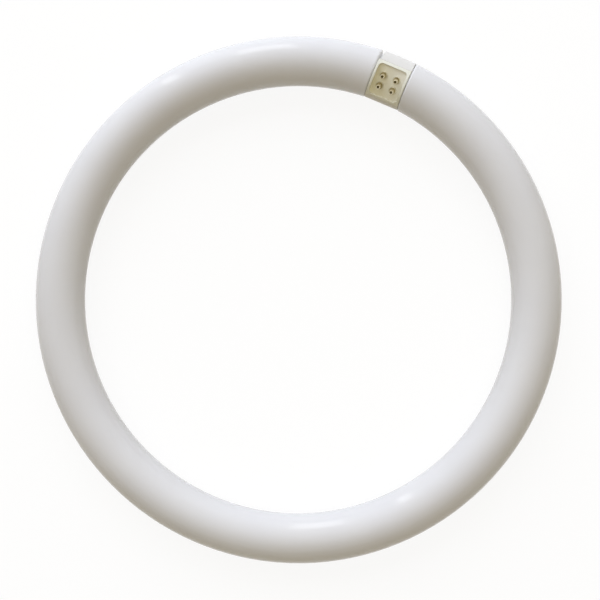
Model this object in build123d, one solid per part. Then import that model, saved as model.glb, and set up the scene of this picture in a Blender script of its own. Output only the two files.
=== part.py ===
"""Circular tube lamp: an opal ring tube whose two necked ends meet in a short four-pin cap.

Millimetres. The origin is on the ring's axis, in the plane that the ring lies on. +Z is the ring's
axis, and +Y points from it to the cap. The pins lean from +Z towards the middle of the ring.

The cap is drawn in a frame of its own: X along the tube, Z along the pins, origin on the tube's axis.
"""

from build123d import *
import math
import os

# The ring: a 12 inch circle of 9/8 inch tube
RING_OUTER_DIA = 305.0
TUBE_DIA = 28.6
TUBE_RADIUS = TUBE_DIA / 2
RING_RADIUS = (RING_OUTER_DIA - TUBE_DIA) / 2

# The cap as a whole
CAP_TILT_DEG = 20.0
CAP_HALF_LENGTH = 10.0
CAP_INSET = 0.2
PARTING_HEIGHT = 9.2
PARTING_EDGE_ROUND = 0.15

# The tube's ends: flat, with a smaller neck that the cap grips behind a bead
END_GAP = 0.15
END_EDGE_ROUND = 1.2
NECK_RADIUS = 7.6
BEAD_RADIUS = 8.2
NECK_END_X = 6.6
END_WALL_INNER_X = 8.0
NECK_ROOT_DEPTH = 3.0

# The shell: the round back of the cap. Its outer side has a shallow notch at the -X end, which runs from
# the parting plane to this many degrees round from the pins
SHELL_BORE_RADIUS = 12.3
NOTCH_RADIUS = 11.6
NOTCH_X = -8.6
NOTCH_END_DEG = 130.0
SHELL_EDGE_ROUND = 0.15

# The insert: the pin side of the cap, with a pocket round the pins and a collar round each one
COVER_EDGE_ROUND = 0.3
POCKET_HALF_LENGTH = 8.55
POCKET_HALF_WIDTH = 9.15
POCKET_CORNER = 2.0
POCKET_MOUTH_ROUND = 0.3
POCKET_FLOOR_ROUND = 0.6
FLOOR_TOP = 9.8
FLOOR_BOTTOM = 8.3
PLATE_HALF_WIDTH = 8.0
SADDLE_LOW = 3.0
COLLAR_RADIUS = 2.3
COLLAR_TOP = 10.7
COLLAR_ROUND = 0.5

# The snap legs of the insert and the ribs of the shell that hold them
LEG_HALF_LENGTH = 5.0
LEG_THICKNESS = 1.2
LEG_LOW = 1.4
HOOK_REACH = 0.9
HOOK_HEIGHT = 1.6
HOOK_LIP = 0.3
RIB_CLEARANCE = 0.1
RIB_HEIGHT = 1.2

# The four hollow pins, on the standard rectangle
PIN_SPACING_ALONG = 7.92
PIN_SPACING_ACROSS = 6.35
PIN_RADIUS = 1.2
PIN_TIP = 16.8
PIN_TIP_ROUND = 0.35
PIN_BODY_RADIUS = 1.5
PIN_BODY_TOP = COLLAR_TOP + 0.15
PIN_FLANGE_RADIUS = 1.9
PIN_FLANGE_THICKNESS = 0.6
PIN_TAIL = 6.4
PIN_MOUTH_RADIUS = 0.8
PIN_MOUTH_BOTTOM = 11.5

# The leads from the necks into the pins
LEAD_RADIUS = 0.4
LEAD_EXIT_HEIGHT = 3.0
LEAD_BEND_RADIUS = 1.5

CAP_PLACE = Location((0, RING_RADIUS - CAP_INSET, TUBE_RADIUS), (CAP_TILT_DEG, 0, 0))
ALONG_X = Rot(0, 90, 0)
TUBE_END_X = CAP_HALF_LENGTH + END_GAP

# How near to a plane or a radius an edge counts as on it
NEAR = 0.01


def pin_places():
    """The four pin axes as (x, y) in the cap's frame, numbered round the rectangle."""
    half_x = PIN_SPACING_ALONG / 2
    half_y = PIN_SPACING_ACROSS / 2
    return [(-half_x, half_y), (half_x, half_y), (half_x, -half_y), (-half_x, -half_y)]


def block(x_range, y_range, z_range):
    """A box between two limits on each axis."""
    sizes = [high - low for low, high in (x_range, y_range, z_range)]
    centre = [(low + high) / 2 for low, high in (x_range, y_range, z_range)]
    return Pos(*centre) * Box(*sizes)


def both_ends(shape):
    """A piece at the cap's +X end, with its mirror image at the -X end."""
    return [shape, mirror(shape, about=Plane.YZ)]


def round_bar(radius, low_x, high_x, edge_round=0.0):
    """A bar along X between two limits, with its rims rounded if asked."""
    bar = Pos((low_x + high_x) / 2, 0, 0) * ALONG_X * Cylinder(radius, high_x - low_x)
    if edge_round:
        bar = fillet(bar.edges().filter_by(GeomType.CIRCLE), edge_round)
    return bar


def upright(radius, x, y, low_z, high_z):
    """A cylinder on a pin's axis between two heights."""
    return Pos(x, y, (low_z + high_z) / 2) * Cylinder(radius, high_z - low_z)


def make_neck():
    """The closed neck of one tube end, turned about the tube's axis."""
    bead_middle = (NECK_END_X + END_WALL_INNER_X) / 2
    root = TUBE_END_X + NECK_ROOT_DEPTH
    with BuildSketch() as section:
        with BuildLine():
            Polyline(
                (NECK_END_X, NECK_RADIUS),
                (NECK_END_X, 0),
                (root, 0),
                (root, NECK_RADIUS),
                (END_WALL_INNER_X, NECK_RADIUS),
            )
            ThreePointArc(
                (END_WALL_INNER_X, NECK_RADIUS), (bead_middle, BEAD_RADIUS), (NECK_END_X, NECK_RADIUS)
            )
        make_face()
    return revolve(section.sketch, axis=Axis.X, revolution_arc=360)


def make_tube():
    """The sealed opal tube: a ring with a gap for the cap, and a neck at both ends."""
    ring = Pos(0, 0, TUBE_RADIUS) * Torus(RING_RADIUS, TUBE_RADIUS)
    gap = Pos(0, RING_RADIUS, TUBE_RADIUS) * Box(2 * TUBE_END_X, 2 * TUBE_DIA, 2 * TUBE_DIA)
    body = ring - gap
    end_edges = body.edges().filter_by(lambda edge: abs(abs(edge.center().X) - TUBE_END_X) < NEAR)
    body = fillet(end_edges, END_EDGE_ROUND)
    for neck in both_ends(make_neck()):
        body += CAP_PLACE * neck
    return body


def outer_parting_edges(shape):
    """The long edges where the parting plane comes out through the cap's round face."""
    half_width = math.sqrt(TUBE_RADIUS**2 - PARTING_HEIGHT**2)

    def on_line(edge):
        spot = edge.center()
        return abs(spot.Z - PARTING_HEIGHT) < NEAR and abs(abs(spot.Y) - half_width) < NEAR

    return shape.edges().filter_by(Axis.X).filter_by(on_line)


def make_shell():
    """The back of the cap: a round trough with end walls that cradle the necks."""
    reach = 2 * CAP_HALF_LENGTH
    shell = round_bar(TUBE_RADIUS, -TUBE_END_X, TUBE_END_X, SHELL_EDGE_ROUND)
    shell -= round_bar(SHELL_BORE_RADIUS, -END_WALL_INNER_X, END_WALL_INNER_X)
    outer_side = block((-reach, NOTCH_X), (0, reach), (-reach, reach))
    notch = outer_side & Rot(180 - NOTCH_END_DEG, 0, 0) * outer_side
    shell -= notch - round_bar(NOTCH_RADIUS, -2 * reach, reach)
    shell -= block((-reach, reach), (-reach, reach), (PARTING_HEIGHT, reach))
    shell = fillet(outer_parting_edges(shell), PARTING_EDGE_ROUND)
    shell -= round_bar(NECK_RADIUS, -reach, reach)
    shell -= block((-reach, reach), (-NECK_RADIUS, NECK_RADIUS), (0, reach))
    return shell + make_catch_ribs()


def make_catch_ribs():
    """Two ribs inside the shell that the hooks of the insert's legs catch under."""
    inner_y = PLATE_HALF_WIDTH + RIB_CLEARANCE
    low = LEG_LOW + HOOK_HEIGHT
    rib = block((-LEG_HALF_LENGTH, LEG_HALF_LENGTH), (inner_y, TUBE_RADIUS), (low, low + RIB_HEIGHT))
    middle_radius = (SHELL_BORE_RADIUS + TUBE_RADIUS) / 2
    rib &= round_bar(middle_radius, -CAP_HALF_LENGTH, CAP_HALF_LENGTH)
    return [rib, mirror(rib, about=Plane.XZ)]


def make_snap_legs():
    """Two legs under the insert's floor, each with a hook that points outwards."""
    outer_y = PLATE_HALF_WIDTH
    inner_y = outer_y - LEG_THICKNESS
    hook_top = LEG_LOW + HOOK_HEIGHT
    with BuildSketch(Plane.YZ) as section:
        with BuildLine():
            Polyline(
                (inner_y, FLOOR_BOTTOM),
                (inner_y, LEG_LOW),
                (outer_y, LEG_LOW),
                (outer_y + HOOK_REACH, hook_top - HOOK_LIP),
                (outer_y + HOOK_REACH, hook_top),
                (outer_y, hook_top),
                (outer_y, FLOOR_BOTTOM),
                close=True,
            )
        make_face()
    leg = extrude(section.sketch, LEG_HALF_LENGTH, both=True)
    return [leg, mirror(leg, about=Plane.XZ)]


def pocket_mouth(cover):
    """The edges where the pocket's walls come out through the cover's round face."""

    def on_mouth(edge):
        spots = [edge @ 0, edge @ 0.5, edge @ 1]
        return all(
            abs(math.hypot(spot.Y, spot.Z) - TUBE_RADIUS) < NEAR
            and abs(spot.X) < POCKET_HALF_LENGTH + NEAR
            and abs(spot.Y) < POCKET_HALF_WIDTH + NEAR
            for spot in spots
        )

    return cover.edges().filter_by(on_mouth)


def make_insert():
    """The pin side of the cap: a rounded cover with a pocket, a pierced floor and two saddles."""
    reach = 2 * CAP_HALF_LENGTH
    cover = round_bar(TUBE_RADIUS, -CAP_HALF_LENGTH, CAP_HALF_LENGTH, COVER_EDGE_ROUND)
    cover &= block((-reach, reach), (-reach, reach), (PARTING_HEIGHT, reach))
    cover = fillet(outer_parting_edges(cover), PARTING_EDGE_ROUND)
    outline = RectangleRounded(2 * POCKET_HALF_LENGTH, 2 * POCKET_HALF_WIDTH, POCKET_CORNER)
    pocket = Pos(0, 0, FLOOR_TOP) * extrude(outline, reach)
    cover -= fillet(pocket.edges().group_by(Axis.Z)[0], POCKET_FLOOR_ROUND)
    cover = fillet(pocket_mouth(cover), POCKET_MOUTH_ROUND)

    floor = block(
        (-END_WALL_INNER_X, END_WALL_INNER_X),
        (-PLATE_HALF_WIDTH, PLATE_HALF_WIDTH),
        (FLOOR_BOTTOM, FLOOR_TOP),
    )
    saddle = block(
        (END_WALL_INNER_X, CAP_HALF_LENGTH), (-NECK_RADIUS, NECK_RADIUS), (SADDLE_LOW, FLOOR_TOP)
    )
    saddle -= round_bar(NECK_RADIUS, 0, reach)
    insert = cover + floor + both_ends(saddle) + make_snap_legs()

    for x, y in pin_places():
        collar = upright(COLLAR_RADIUS, x, y, FLOOR_BOTTOM, COLLAR_TOP)
        insert += fillet(collar.edges().group_by(Axis.Z)[-1], COLLAR_ROUND)
        insert -= upright(PIN_BODY_RADIUS, x, y, 0, reach)
    return insert


def make_pin():
    """One hollow pin, turned about its own axis: tail, flange, body and free shank."""
    flange_low = FLOOR_BOTTOM - PIN_FLANGE_THICKNESS
    with BuildSketch(Plane.XZ) as section:
        with BuildLine():
            Polyline(
                (LEAD_RADIUS, PIN_TAIL),
                (PIN_RADIUS, PIN_TAIL),
                (PIN_RADIUS, flange_low),
                (PIN_FLANGE_RADIUS, flange_low),
                (PIN_FLANGE_RADIUS, FLOOR_BOTTOM),
                (PIN_BODY_RADIUS, FLOOR_BOTTOM),
                (PIN_BODY_RADIUS, PIN_BODY_TOP),
                (PIN_RADIUS, PIN_BODY_TOP),
                (PIN_RADIUS, PIN_TIP - PIN_TIP_ROUND),
            )
            RadiusArc(
                (PIN_RADIUS, PIN_TIP - PIN_TIP_ROUND),
                (PIN_RADIUS - PIN_TIP_ROUND, PIN_TIP),
                -PIN_TIP_ROUND,
            )
            Polyline(
                (PIN_RADIUS - PIN_TIP_ROUND, PIN_TIP),
                (PIN_MOUTH_RADIUS, PIN_TIP),
                (PIN_MOUTH_RADIUS, PIN_MOUTH_BOTTOM),
                (LEAD_RADIUS, PIN_MOUTH_BOTTOM),
                (LEAD_RADIUS, PIN_TAIL),
            )
        make_face()
    return revolve(section.sketch, axis=Axis.Z, revolution_arc=360)


def make_lead(x, y):
    """One lead: out of the neck beside its pin, round a bend and up into the pin's bore."""
    neck_face = math.copysign(NECK_END_X, x)
    path = FilletPolyline(
        (neck_face, y, LEAD_EXIT_HEIGHT),
        (x, y, LEAD_EXIT_HEIGHT),
        (x, y, PIN_MOUTH_BOTTOM),
        radius=LEAD_BEND_RADIUS,
    )
    section = Plane(origin=path @ 0, z_dir=path % 0) * Circle(LEAD_RADIUS)
    return sweep(section, path=path)


def make_all():
    """Every piece of the lamp in its place, by name."""
    pieces = {
        "opal_tube": make_tube(),
        "cap_shell": CAP_PLACE * make_shell(),
        "pin_insert": CAP_PLACE * make_insert(),
    }
    pin = make_pin()
    for number, (x, y) in enumerate(pin_places(), start=1):
        pieces[f"contact_pin_{number}"] = CAP_PLACE * Pos(x, y, 0) * pin
        pieces[f"lead_wire_{number}"] = CAP_PLACE * make_lead(x, y)
    return pieces


os.makedirs("parts", exist_ok=True)
for name, piece in make_all().items():
    export_step(piece, f"parts/{name}.step")
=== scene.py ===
"""The looks of a circular tube lamp: opal tube, ivory and white cap, brass pins, on a pale floor.

Metres. The lamp lies on the floor with its cap at +Y, and the camera looks down on it from above the
middle of the ring, a little to one side.
"""

import math

import bmesh
import bpy
from mathutils import Matrix, Vector

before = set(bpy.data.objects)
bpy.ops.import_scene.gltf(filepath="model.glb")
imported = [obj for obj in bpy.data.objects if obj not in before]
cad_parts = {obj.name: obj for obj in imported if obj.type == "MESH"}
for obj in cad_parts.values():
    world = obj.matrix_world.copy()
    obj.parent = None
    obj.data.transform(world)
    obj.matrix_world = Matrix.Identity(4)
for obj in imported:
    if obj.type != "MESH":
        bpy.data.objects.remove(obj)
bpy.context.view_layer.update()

# The lamp, as its solids have it
RING_RADIUS = 0.1382
TUBE_RADIUS = 0.0143
CAP_PLACE = (0.0, 0.138, 0.0143)
CAP_TILT = math.radians(20.0)
PIN_COUNT = 4
HALF_PIN_SPACING = (0.00396, 0.003175, 0.0)
PIN_BORE_RADIUS = 0.0008
PIN_FOOT_RADIUS = 0.0015
COLLAR_TOP = 0.0107
POCKET_HALF_LENGTH = 0.00855

# Painted light and shade, in the cap's frame: the pocket's floor is painted lit and paler this way and
# shaded and yellower the other way, and the cap's inner side is painted in full shade at this distance
# inward from its middle
POCKET_LIT_WAY = (1.0, 0.5, 0.0)
SHADE_REACH = 0.013

# Where one colour gives way to another: by distance from the tube's centre line for the insert's face, by
# distance from a pin's axis for the painted shade round its foot and the painted shade in its bore, and by
# height for the painted shade at the pin's foot
FACE_START = TUBE_RADIUS - 0.0015
FACE_END = TUBE_RADIUS - 0.0004
PIN_SHADE_START = PIN_FOOT_RADIUS + 0.0001
PIN_SHADE_END = PIN_FOOT_RADIUS + 0.0011
BORE_END = PIN_BORE_RADIUS + 0.0001
SHANK_START = COLLAR_TOP + 0.0004
SHANK_END = COLLAR_TOP + 0.003

# Colours. A pair gives the two ends of a mottled range.
OPAL_WHITE = ((0.775, 0.78, 0.815), (0.80, 0.805, 0.835))
SHELL_WHITE = ((0.765, 0.76, 0.75), (0.79, 0.785, 0.775))
SHELL_SHADED = (0.73, 0.70, 0.60)
FACE_IVORY = ((0.83, 0.84, 0.76), (0.86, 0.87, 0.79))
FACE_SHADED = ((0.79, 0.77, 0.61), (0.83, 0.81, 0.66))
POCKET_SHADED_YELLOW = ((0.83, 0.795, 0.58), (0.88, 0.845, 0.64))
POCKET_LIT_PALE = ((0.89, 0.875, 0.785), (0.92, 0.90, 0.82))
PIN_FOOT_SHADE = ((0.26, 0.21, 0.09), (0.66, 0.60, 0.40))
BRASS_BRIGHT = ((0.50, 0.42, 0.25), (0.92, 0.86, 0.68))
BRASS_SHADED_FOOT = (0.34, 0.27, 0.12)
BRASS_BORE_SHADE = (0.31, 0.235, 0.035)
WIRE_GREY = ((0.50, 0.49, 0.47), (0.68, 0.67, 0.65))

# The photograph's view: its upward direction is turned from the cap's, about the ring's axis
PHOTO_TURN = math.radians(23.4)
CAMERA_HEIGHT = 0.75
CAMERA_RIGHT = 0.050
CAMERA_UP = -0.005
AIM_RIGHT = 0.0025
AIM_UP = -0.0003
PHOTO_SIZE = 600
PHOTO_RING_RADIUS = 263.7
SENSOR_WIDTH = 36.0
CLIP_START = 0.05
CLIP_END = 50.0

# The studio: the floor, the soft boxes' usual distance, and the colours of the light
FLOOR_HALF_WIDTH = 6.0
BOX_DISTANCE = 3.0
FILL_DISTANCE = 0.7
WHITE = (1.0, 1.0, 1.0)
COOL_WHITE = (0.92, 1.0, 1.16)
WARM_AMBIENT = (0.315, 0.264, 0.165)
WARM_BOUNCE = (0.56, 0.535, 0.475)

UP = Vector((-math.sin(PHOTO_TURN), math.cos(PHOTO_TURN), 0.0))
RIGHT = Vector((math.cos(PHOTO_TURN), math.sin(PHOTO_TURN), 0.0))
TOWARDS_CAMERA = Vector((0.0, 0.0, 1.0))
RING_CENTRE = Vector((0.0, 0.0, TUBE_RADIUS))


def make_camera():
    """Above the ring and a little to one side, with the ring as large in the frame as in the photograph."""
    place = RING_CENTRE + UP * CAMERA_UP + RIGHT * CAMERA_RIGHT + TOWARDS_CAMERA * CAMERA_HEIGHT
    aim = RING_CENTRE + UP * AIM_UP + RIGHT * AIM_RIGHT
    back = (place - aim).normalized()
    across = UP.cross(back).normalized()
    turn = Matrix((across, back.cross(across), back)).transposed()

    slope = math.atan2(RING_RADIUS, (place - aim).length)
    half_tube = math.asin(TUBE_RADIUS / math.hypot(RING_RADIUS, (place - aim).length))
    ring_edge = math.tan(slope + half_tube)
    data = bpy.data.cameras.new("photo_camera")
    data.sensor_width = SENSOR_WIDTH
    data.lens = PHOTO_RING_RADIUS / ring_edge * SENSOR_WIDTH / PHOTO_SIZE
    data.clip_start = CLIP_START
    data.clip_end = CLIP_END
    camera = bpy.data.objects.new("photo_camera", data)
    camera.matrix_world = Matrix.Translation(place) @ turn.to_4x4()
    bpy.context.scene.collection.objects.link(camera)
    bpy.context.scene.camera = camera


def soft_box(name, clock_deg, elevation_deg, distance, size, level, colour, mirrored=True):
    """A soft box aimed at the ring. The clock angle runs clockwise from the photograph's top.

    The level is what a small box alone gives a white matt surface that faces it. A box that isn't
    mirrored leaves no hard-edged reflection of itself on glossy surfaces.
    """
    clock = math.radians(clock_deg)
    elevation = math.radians(elevation_deg)
    flat = UP * math.cos(clock) + RIGHT * math.sin(clock)
    direction = flat * math.cos(elevation) + TOWARDS_CAMERA * math.sin(elevation)
    data = bpy.data.lights.new(name, "AREA")
    data.shape = "RECTANGLE"
    data.size, data.size_y = size
    data.energy = level * (math.pi * distance) ** 2
    data.color = colour
    lamp = bpy.data.objects.new(name, data)
    lamp.location = RING_CENTRE + direction * distance
    lamp.rotation_mode = "QUATERNION"
    lamp.rotation_quaternion = direction.to_track_quat("Z", "Y")
    lamp.visible_glossy = mirrored
    bpy.context.scene.collection.objects.link(lamp)


def seen_rays(tree):
    """One for camera, glossy and transmission rays, and nought for the rays that light things."""
    path = tree.nodes.new("ShaderNodeLightPath")
    total = path.outputs["Is Camera Ray"]
    for kind in ("Is Glossy Ray", "Is Transmission Ray"):
        both = tree.nodes.new("ShaderNodeMath")
        both.operation = "ADD"
        both.use_clamp = True
        tree.links.new(total, both.inputs[0])
        tree.links.new(path.outputs[kind], both.inputs[1])
        total = both.outputs[0]
    return total


def make_world(light):
    """White where it is seen, and an even soft light elsewhere."""
    world = bpy.data.worlds.new("studio")
    bpy.context.scene.world = world
    world.use_nodes = True
    tree = world.node_tree
    tree.nodes.clear()
    out = tree.nodes.new("ShaderNodeOutputWorld")
    pick = tree.nodes.new("ShaderNodeMixShader")
    lit = tree.nodes.new("ShaderNodeBackground")
    lit.inputs["Color"].default_value = (*light, 1.0)
    seen = tree.nodes.new("ShaderNodeBackground")
    seen.inputs["Color"].default_value = (*WHITE, 1.0)
    tree.links.new(seen_rays(tree), pick.inputs[0])
    tree.links.new(lit.outputs[0], pick.inputs[1])
    tree.links.new(seen.outputs[0], pick.inputs[2])
    tree.links.new(pick.outputs[0], out.inputs["Surface"])


def make_floor(bounce, glow, shade):
    """A pale floor: near white with the lamp's soft shadow where it is seen, duller where it lights."""
    mesh = bpy.data.meshes.new("floor")
    sheet = bmesh.new()
    bmesh.ops.create_grid(sheet, x_segments=8, y_segments=8, size=FLOOR_HALF_WIDTH)
    sheet.to_mesh(mesh)
    sheet.free()
    floor = bpy.data.objects.new("floor", mesh)
    bpy.context.scene.collection.objects.link(floor)

    material = bpy.data.materials.new("pale_floor")
    material.use_nodes = True
    tree = material.node_tree
    tree.nodes.clear()
    out = tree.nodes.new("ShaderNodeOutputMaterial")
    pick = tree.nodes.new("ShaderNodeMixShader")
    matt = tree.nodes.new("ShaderNodeBsdfDiffuse")
    matt.inputs["Color"].default_value = (*bounce, 1.0)
    shaded = tree.nodes.new("ShaderNodeBsdfDiffuse")
    shaded.inputs["Color"].default_value = (shade, shade, shade, 1.0)
    white = tree.nodes.new("ShaderNodeEmission")
    white.inputs["Color"].default_value = (glow, glow, glow, 1.0)
    both = tree.nodes.new("ShaderNodeAddShader")
    tree.links.new(shaded.outputs[0], both.inputs[0])
    tree.links.new(white.outputs[0], both.inputs[1])
    tree.links.new(seen_rays(tree), pick.inputs[0])
    tree.links.new(matt.outputs[0], pick.inputs[1])
    tree.links.new(both.outputs[0], pick.inputs[2])
    tree.links.new(pick.outputs[0], out.inputs["Surface"])
    mesh.materials.append(material)


# Nearly all of a noise lies between these two values
NOISE_SPREAD = (0.3, 0.7)


class Finish:
    """A principled material with helpers for noise that drives its colour, roughness and bump."""

    def __init__(self, name):
        self.material = bpy.data.materials.new(name)
        self.material.use_nodes = True
        self.tree = self.material.node_tree
        self.shader = self.tree.nodes["Principled BSDF"]
        self.place = self.tree.nodes.new("ShaderNodeTexCoord").outputs["Object"]

    def noise(self, size, detail=2.0, seed=0.0):
        """Smooth noise whose patches are about the given size in metres."""
        node = self.tree.nodes.new("ShaderNodeTexNoise")
        node.noise_dimensions = "4D"
        node.inputs["Scale"].default_value = 1.0 / size
        node.inputs["Detail"].default_value = detail
        node.inputs["W"].default_value = seed
        self.tree.links.new(self.place, node.inputs["Vector"])
        return node.outputs["Fac"]

    def cap_frame(self):
        """The place in the cap's own frame: X along the tube, Z along the pins."""
        node = self.tree.nodes.new("ShaderNodeMapping")
        node.vector_type = "TEXTURE"
        node.inputs["Location"].default_value = CAP_PLACE
        node.inputs["Rotation"].default_value = (CAP_TILT, 0.0, 0.0)
        self.tree.links.new(self.place, node.inputs["Vector"])
        return node.outputs["Vector"]

    def vector(self, operation, source, value=None):
        """One step of vector arithmetic: a number for a length or a dot product, and else a vector."""
        node = self.tree.nodes.new("ShaderNodeVectorMath")
        node.operation = operation
        self.tree.links.new(source, node.inputs[0])
        if value is not None:
            node.inputs[1].default_value = value
        return node.outputs["Value" if operation in ("LENGTH", "DOT_PRODUCT") else "Vector"]

    def part(self, source, axis):
        """One coordinate of a place."""
        node = self.tree.nodes.new("ShaderNodeSeparateXYZ")
        self.tree.links.new(source, node.inputs[0])
        return node.outputs[axis]

    def from_axis(self, cap):
        """How far a place in the cap's frame is from the tube's centre line."""
        return self.vector("LENGTH", self.vector("MULTIPLY", cap, (0.0, 1.0, 1.0)))

    def from_pin(self, cap):
        """How far a place in the cap's frame is from the nearest pin's axis."""
        offset = self.vector("SUBTRACT", self.vector("ABSOLUTE", cap), HALF_PIN_SPACING)
        return self.vector("LENGTH", self.vector("MULTIPLY", offset, (1.0, 1.0, 0.0)))

    def blend(self, factor, low, high):
        """Goes from one colour to another, each a socket or a fixed colour."""
        node = self.tree.nodes.new("ShaderNodeMix")
        node.data_type = "RGBA"
        self.tree.links.new(factor, node.inputs["Factor"])
        # The node's two colour inputs are its seventh and eighth, and its colour output is the third
        for socket, colour in ((node.inputs[6], low), (node.inputs[7], high)):
            if isinstance(colour, tuple):
                socket.default_value = (*colour, 1.0)
            else:
                self.tree.links.new(colour, socket)
        return node.outputs[2]

    def ramp(self, source, colours):
        """Turns a noise into a colour between the two given."""
        node = self.tree.nodes.new("ShaderNodeValToRGB")
        for element, position, colour in zip(node.color_ramp.elements, NOISE_SPREAD, colours):
            element.position = position
            element.color = (*colour, 1.0)
        self.tree.links.new(source, node.inputs["Fac"])
        return node.outputs["Color"]

    def between(self, source, low, high, spread=NOISE_SPREAD):
        """Turns a number within the spread into one between low and high."""
        node = self.tree.nodes.new("ShaderNodeMapRange")
        node.inputs["From Min"].default_value = spread[0]
        node.inputs["From Max"].default_value = spread[1]
        node.inputs["To Min"].default_value = low
        node.inputs["To Max"].default_value = high
        self.tree.links.new(source, node.inputs["Value"])
        return node.outputs["Result"]

    def rise(self, source, start, end):
        """Goes from nought to one as a number goes from start to end."""
        return self.between(source, 0.0, 1.0, spread=(start, end))

    def outward(self, cap):
        """Goes from nought at the cap's inner side to one at its middle, and stays one further out."""
        return self.rise(self.part(cap, "Y"), -SHADE_REACH, 0.0)

    def bumps(self, layers):
        """Adds up bump layers, each a noise and the height of its relief in metres."""
        normal = None
        for source, height in layers:
            node = self.tree.nodes.new("ShaderNodeBump")
            node.inputs["Strength"].default_value = 1.0
            node.inputs["Distance"].default_value = height
            self.tree.links.new(source, node.inputs["Height"])
            if normal is not None:
                self.tree.links.new(normal, node.inputs["Normal"])
            normal = node.outputs["Normal"]
        self.tree.links.new(normal, self.shader.inputs["Normal"])

    def link(self, source, socket):
        """Feeds one of the shader's sockets."""
        self.tree.links.new(source, self.shader.inputs[socket])

    def fix(self, **values):
        """Sets sockets that are the same all over the surface."""
        for name, value in values.items():
            self.shader.inputs[name.replace("_", " ")].default_value = value


def opal_finish():
    """Smooth opal tube, faintly clouded, with a soft gloss."""
    finish = Finish("opal_tube_white")
    cloud = finish.noise(0.03, detail=3.0, seed=1.0)
    finish.link(finish.ramp(cloud, OPAL_WHITE), "Base Color")
    finish.link(finish.between(finish.noise(0.012, seed=2.0), 0.04, 0.065), "Roughness")
    ripple = finish.noise(0.02, detail=1.0, seed=3.0)
    grain = finish.noise(0.0006, detail=2.0, seed=4.0)
    finish.bumps([(ripple, 0.00008), (grain, 0.000002)])
    finish.fix(IOR=1.46, Specular_IOR_Level=0.5)
    return finish.material


def moulded_finish(name, seed, roughness):
    """Injection-moulded plastic without its colour: flow marks and a fine eroded grain."""
    finish = Finish(name)
    scuff = finish.noise(0.0025, detail=4.0, seed=seed + 1.0)
    finish.link(finish.between(scuff, roughness - 0.05, roughness + 0.08), "Roughness")
    grain = finish.noise(0.0003, detail=2.0, seed=seed + 2.0)
    sink = finish.noise(0.005, detail=1.0, seed=seed + 3.0)
    finish.bumps([(sink, 0.00005), (grain, 0.000004)])
    finish.fix(IOR=1.5, Specular_IOR_Level=0.4)
    return finish


def shell_finish():
    """Neutral white plastic with faint flow clouds, with painted shade, darker and yellower, next to the
    inner side of the insert.
    """
    finish = moulded_finish("shell_white", seed=7.0, roughness=0.36)
    cloud = finish.noise(0.006, detail=3.0, seed=7.0)
    white = finish.ramp(cloud, SHELL_WHITE)
    # Painted shade: the shell is darker and yellower towards the cap's inner side
    finish.link(finish.blend(finish.outward(finish.cap_frame()), SHELL_SHADED, white), "Base Color")
    return finish.material


def insert_finish():
    """Ivory plastic, whiter on its round face, with painted light and shade in the pocket and painted shade
    round the pins' feet.
    """
    finish = moulded_finish("insert_ivory", seed=11.0, roughness=0.38)
    cloud = finish.noise(0.006, detail=3.0, seed=11.0)
    ivory = finish.ramp(cloud, FACE_IVORY)
    face_shaded = finish.ramp(cloud, FACE_SHADED)
    pocket_shaded = finish.ramp(cloud, POCKET_SHADED_YELLOW)
    pale = finish.ramp(cloud, POCKET_LIT_PALE)
    # Painted shade: a dark brown ring round each pin's foot, where the collar meets the pocket floor
    pin_shade_mottle = finish.noise(0.003, detail=3.0, seed=15.0)
    pin_foot_shade = finish.ramp(pin_shade_mottle, PIN_FOOT_SHADE)

    cap = finish.cap_frame()
    # Painted light and shade: the pocket's floor goes from shaded yellow to lit pale along this way
    across = finish.vector("DOT_PRODUCT", cap, POCKET_LIT_WAY)
    pocket_lit_side = finish.rise(across, -POCKET_HALF_LENGTH, POCKET_HALF_LENGTH)
    beyond_pin_shade = finish.rise(finish.from_pin(cap), PIN_SHADE_START, PIN_SHADE_END)
    pocket = finish.blend(beyond_pin_shade, pin_foot_shade, finish.blend(pocket_lit_side, pocket_shaded, pale))
    # Painted shade: the round face is darker and yellower towards the cap's inner side
    face = finish.blend(finish.outward(cap), face_shaded, ivory)
    on_face = finish.rise(finish.from_axis(cap), FACE_START, FACE_END)
    finish.link(finish.blend(on_face, pocket, face), "Base Color")
    return finish.material


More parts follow.
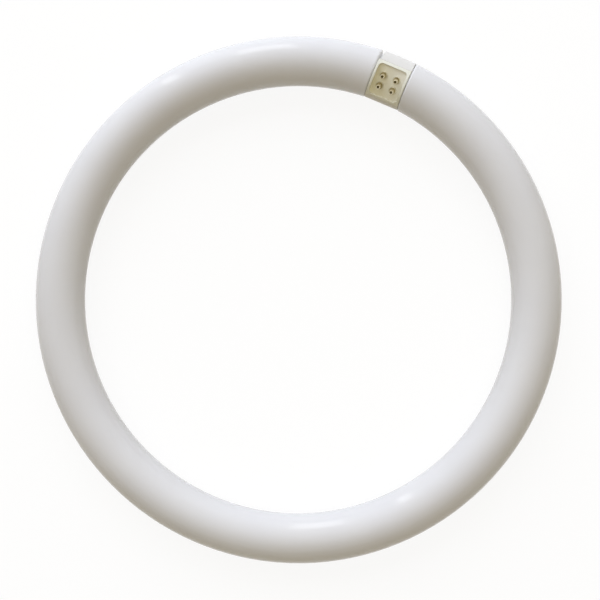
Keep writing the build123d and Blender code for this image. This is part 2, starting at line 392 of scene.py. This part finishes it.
def brass_finish():
    """Turned brass, pale and a little tarnished, with painted shade, darker and browner, at its foot and
    painted dark shade in its bore.
    """
    finish = Finish("pin_brass")
    tarnish = finish.noise(0.0012, detail=4.0, seed=21.0)
    bright = finish.ramp(tarnish, BRASS_BRIGHT)
    cap = finish.cap_frame()
    # Painted shade: the shank is darker and browner at its foot, next to the collar
    above = finish.rise(finish.part(cap, "Z"), SHANK_START, SHANK_END)
    # Painted shade: the bore is painted dark inside
    outside = finish.rise(finish.from_pin(cap), PIN_BORE_RADIUS, BORE_END)
    shank_and_foot_shade = finish.blend(above, BRASS_SHADED_FOOT, bright)
    finish.link(finish.blend(outside, BRASS_BORE_SHADE, shank_and_foot_shade), "Base Color")
    finish.link(finish.between(tarnish, 0.42, 0.24), "Roughness")
    turned = finish.noise(0.0002, detail=2.0, seed=22.0)
    finish.bumps([(turned, 0.000004)])
    finish.fix(Metallic=1.0)
    return finish.material


def wire_finish():
    """Plated drawn wire."""
    finish = Finish("lead_plating")
    dull = finish.noise(0.0008, detail=3.0, seed=31.0)
    finish.link(finish.ramp(dull, WIRE_GREY), "Base Color")
    finish.link(finish.between(dull, 0.45, 0.3), "Roughness")
    finish.fix(Metallic=1.0)
    return finish.material


def dress(node, material):
    """Gives a carried-over node its material in every slot."""
    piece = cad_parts[node]
    piece.data.materials.clear()
    piece.data.materials.append(material)


make_camera()
bpy.context.scene.view_settings.view_transform = "Standard"

make_world(light=WARM_AMBIENT)
make_floor(bounce=WARM_BOUNCE, glow=0.89, shade=0.14)
soft_box("key", 347.0, 25.0, BOX_DISTANCE, (4.4, 4.4), 1.38, COOL_WHITE, mirrored=False)
soft_box("fill", 150.0, 70.0, FILL_DISTANCE, (0.3, 0.3), 0.09, WHITE, mirrored=False)
soft_box("window_wide", 349.5, 25.0, BOX_DISTANCE, (0.62, 1.5), 0.08, WHITE)
soft_box("window_narrow", 327.5, 20.0, BOX_DISTANCE, (0.19, 1.9), 0.037, WHITE)

dress("opal_tube", opal_finish())
dress("cap_shell", shell_finish())
dress("pin_insert", insert_finish())
brass = brass_finish()
wire = wire_finish()
for number in range(1, PIN_COUNT + 1):
    dress(f"contact_pin_{number}", brass)
    dress(f"lead_wire_{number}", wire)
